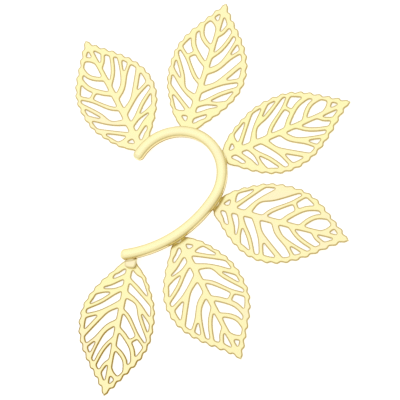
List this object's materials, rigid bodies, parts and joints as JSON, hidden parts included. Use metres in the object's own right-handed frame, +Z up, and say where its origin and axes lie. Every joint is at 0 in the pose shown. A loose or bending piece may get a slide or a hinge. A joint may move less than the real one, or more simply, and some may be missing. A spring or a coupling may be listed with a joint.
{
  "type": "ear cuff",
  "caption": "C-shaped bar worn behind the ear, fanned round with pierced leaves that have notched margins, in polished pale gold.",
  "frame": {"origin": "under the middle of the cuff's box, on the surface that it lies on", "axes": "+Z up out of the face of the cuff, which lies on the backs of its leaves; +X to the right of its front view, +Y to the top of the ear"},
  "size_m": [0.087, 0.123, 0.0036],
  "materials": {
    "hook_gold": "polished pale gold plating",
    "tab_gold": "satin pale gold plating",
    "leaf_gold": "polished pale gold plating with darker cut edges"
  },
  "bodies": {
    "root": {"ear_hook": "hook_gold", "hook_tab": "tab_gold", "leaf_1": "leaf_gold", "leaf_2": "leaf_gold", "leaf_3": "leaf_gold", "leaf_4": "leaf_gold", "leaf_5": "leaf_gold", "leaf_6": "leaf_gold"}
  },
  "joints": []
}
